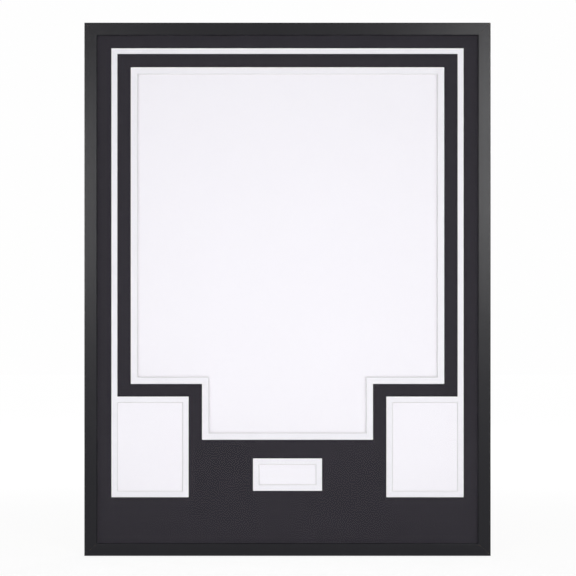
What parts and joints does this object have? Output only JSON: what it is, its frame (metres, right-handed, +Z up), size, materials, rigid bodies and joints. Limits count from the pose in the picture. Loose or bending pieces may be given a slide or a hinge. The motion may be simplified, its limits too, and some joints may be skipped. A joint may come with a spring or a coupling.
{
  "type": "jersey display case",
  "caption": "Wall-hung jersey display case: mitred black moulding, clear sheet, black over white mats with bevelled jersey, photo and nameplate windows, and a back held by turn buttons.",
  "frame": {"origin": "middle of the moulding's underside, halfway between its face and its back", "axes": "+X to the viewer's right, +Y from the front towards the back, +Z up"},
  "size_m": [0.8128, 0.0301, 1.0668],
  "materials": {
    "moulding": "satin",
    "nails": "satin",
    "clear_sheet": "gloss",
    "black_mat": "matte",
    "white_mat": "matte",
    "spacers": "matte",
    "fillers": "matte",
    "mounting_board": "matte",
    "back_board": "matte",
    "turn_buttons": "satin",
    "screws": "gloss",
    "hangers": "satin",
    "rings": "gloss",
    "bumpers": "satin"
  },
  "bodies": {
    "case": {"top_rail": "moulding", "bottom_rail": "moulding", "left_stile": "moulding", "right_stile": "moulding", "corner_nails": "nails", "clear_sheet": "clear_sheet", "black_top_mat": "black_mat", "white_lower_mat": "white_mat", "top_spacer": "spacers", "bottom_spacer": "spacers", "left_spacer": "spacers", "right_spacer": "spacers", "left_photo_filler": "fillers", "right_photo_filler": "fillers", "nameplate_filler": "fillers", "mounting_board": "mounting_board", "back_board": "back_board", "turn_button_screws": "screws", "left_hanger_strap": "hangers", "right_hanger_strap": "hangers", "hanger_screws": "screws", "left_bumper": "bumpers", "right_bumper": "bumpers"},
    "turn_button_top_left": {"turn_button_top_left": "turn_buttons"},
    "turn_button_top_right": {"turn_button_top_right": "turn_buttons"},
    "turn_button_bottom_left": {"turn_button_bottom_left": "turn_buttons"},
    "turn_button_bottom_right": {"turn_button_bottom_right": "turn_buttons"},
    "turn_button_left_upper": {"turn_button_left_upper": "turn_buttons"},
    "turn_button_left_middle": {"turn_button_left_middle": "turn_buttons"},
    "turn_button_left_lower": {"turn_button_left_lower": "turn_buttons"},
    "turn_button_right_upper": {"turn_button_right_upper": "turn_buttons"},
    "turn_button_right_middle": {"turn_button_right_middle": "turn_buttons"},
    "turn_button_right_lower": {"turn_button_right_lower": "turn_buttons"},
    "left_hanger_ring": {"left_hanger_ring": "rings"},
    "right_hanger_ring": {"right_hanger_ring": "rings"}
  },
  "joints": [
    {"name": "turn_button_top_left_turn", "type": "hinge", "parent": "case", "child": "turn_button_top_left", "pos_m": [-0.2164, 0.0134, 1.05755], "axis": [0, 1, 0], "continuous": true},
    {"name": "turn_button_top_right_turn", "type": "hinge", "parent": "case", "child": "turn_button_top_right", "pos_m": [0.2164, 0.0134, 1.05755], "axis": [0, 1, 0], "continuous": true},
    {"name": "turn_button_bottom_left_turn", "type": "hinge", "parent": "case", "child": "turn_button_bottom_left", "pos_m": [-0.2164, 0.0134, 0.00925], "axis": [0, 1, 0], "continuous": true},
    {"name": "turn_button_bottom_right_turn", "type": "hinge", "parent": "case", "child": "turn_button_bottom_right", "pos_m": [0.2164, 0.0134, 0.00925], "axis": [0, 1, 0], "continuous": true},
    {"name": "turn_button_left_upper_turn", "type": "hinge", "parent": "case", "child": "turn_button_left_upper", "pos_m": [-0.39715, 0.0134, 0.8768], "axis": [0, 1, 0], "continuous": true},
    {"name": "turn_button_left_middle_turn", "type": "hinge", "parent": "case", "child": "turn_button_left_middle", "pos_m": [-0.39715, 0.0134, 0.5334], "axis": [0, 1, 0], "continuous": true},
    {"name": "turn_button_left_lower_turn", "type": "hinge", "parent": "case", "child": "turn_button_left_lower", "pos_m": [-0.39715, 0.0134, 0.19], "axis": [0, 1, 0], "continuous": true},
    {"name": "turn_button_right_upper_turn", "type": "hinge", "parent": "case", "child": "turn_button_right_upper", "pos_m": [0.39715, 0.0134, 0.8768], "axis": [0, 1, 0], "continuous": true},
    {"name": "turn_button_right_middle_turn", "type": "hinge", "parent": "case", "child": "turn_button_right_middle", "pos_m": [0.39715, 0.0134, 0.5334], "axis": [0, 1, 0], "continuous": true},
    {"name": "turn_button_right_lower_turn", "type": "hinge", "parent": "case", "child": "turn_button_right_lower", "pos_m": [0.39715, 0.0134, 0.19], "axis": [0, 1, 0], "continuous": true},
    {"name": "left_hanger_ring_swing", "type": "hinge", "parent": "case", "child": "left_hanger_ring", "pos_m": [-0.39715, 0.01505, 0.7768], "axis": [1, 0, 0], "range_deg": [-178, 0]},
    {"name": "right_hanger_ring_swing", "type": "hinge", "parent": "case", "child": "right_hanger_ring", "pos_m": [0.39715, 0.01505, 0.7768], "axis": [1, 0, 0], "range_deg": [-178, 0]}
  ]
}
